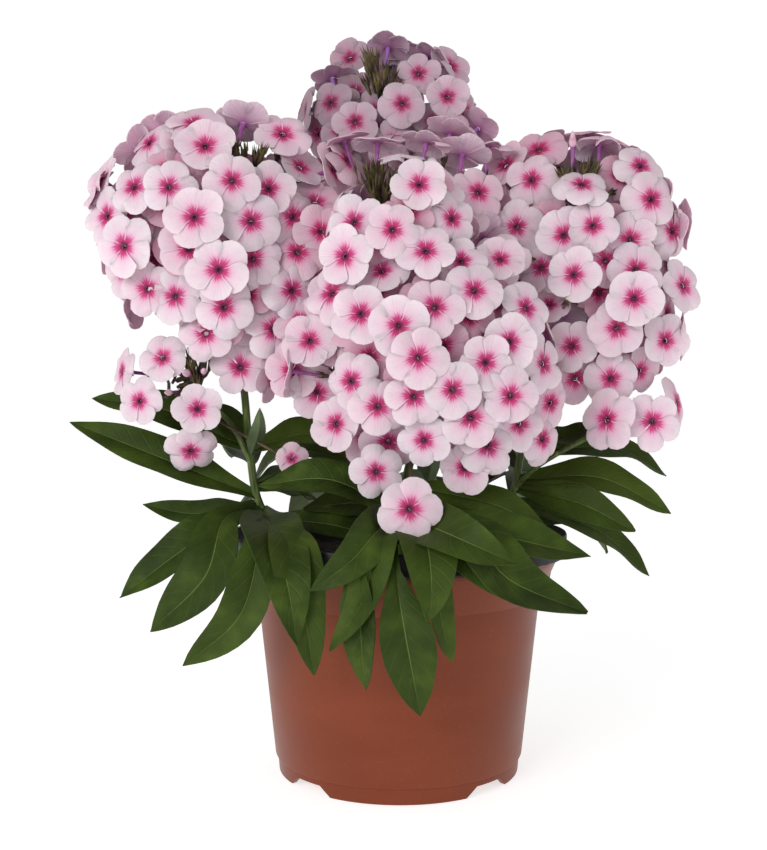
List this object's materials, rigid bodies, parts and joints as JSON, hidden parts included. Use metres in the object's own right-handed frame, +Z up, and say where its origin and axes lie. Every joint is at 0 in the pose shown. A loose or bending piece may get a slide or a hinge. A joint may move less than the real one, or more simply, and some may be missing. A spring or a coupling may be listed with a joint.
{
  "type": "phlox plant",
  "caption": "Phlox in full flower: domed heads of pale pink five-lobed florets with magenta eyes over lance-shaped leaves, in a black grow pot inside a terracotta-coloured cover pot.",
  "frame": {"origin": "on the ground, under the middle of the plant's spread; the pots' common axis is about 10 mm from it", "axes": "+Z up, -Y towards the side with the low front head, +X towards the right-hand head"},
  "size_m": [0.34, 0.2444, 0.4083],
  "materials": {
    "terracotta_plastic": "satin",
    "black_plastic": "satin",
    "soil": "rough",
    "foliage": "satin",
    "petals": "matt"
  },
  "bodies": {
    "root": {"cover_pot": "terracotta_plastic", "grow_pot": "black_plastic", "soil": "soil", "leafy_stem_left": "foliage", "leafy_stem_front": "foliage", "leafy_stem_right": "foliage", "leafy_stem_back": "foliage", "leafy_stem_rear": "foliage", "flower_head_left": "petals", "flower_head_back": "petals", "flower_head_right": "petals", "flower_head_front": "petals", "flower_head_rear": "petals", "spray_left": "petals", "spray_right": "petals"}
  },
  "joints": []
}
